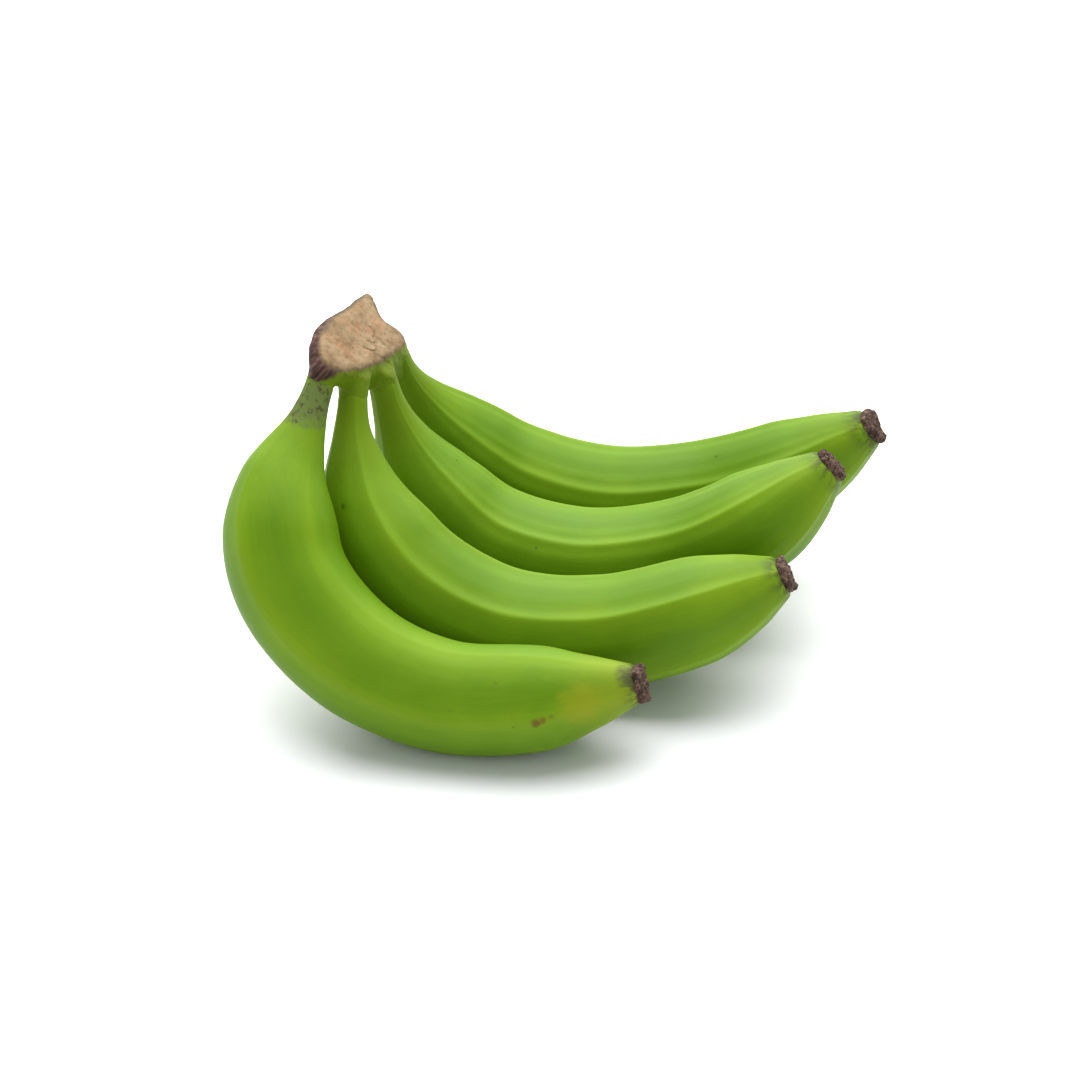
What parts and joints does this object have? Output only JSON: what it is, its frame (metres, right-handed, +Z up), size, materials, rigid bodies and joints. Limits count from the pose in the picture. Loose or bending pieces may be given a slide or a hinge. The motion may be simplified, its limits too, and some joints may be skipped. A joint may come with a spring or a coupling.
{
  "type": "plantain hand",
  "caption": "Hand of green plantains with slim necks joined at a cut crown and dark blossom scars at the blunt tips, lying on its curved side.",
  "frame": {"origin": "middle of the footprint box, on the surface that the hand lies on", "axes": "+Z up, +X towards the tips along the fingers, +Y from the front finger to the back one"},
  "size_m": [0.231, 0.1686, 0.1143],
  "materials": {
    "peel": "satin waxy peel",
    "crown": "dry fibrous cut",
    "scar": "dry, rough, matte"
  },
  "bodies": {
    "root": {"crown": "crown", "finger_1": "peel", "finger_2": "peel", "finger_3": "peel", "finger_4": "peel", "blossom_scar_1": "scar", "blossom_scar_2": "scar", "blossom_scar_3": "scar", "blossom_scar_4": "scar"}
  },
  "joints": []
}
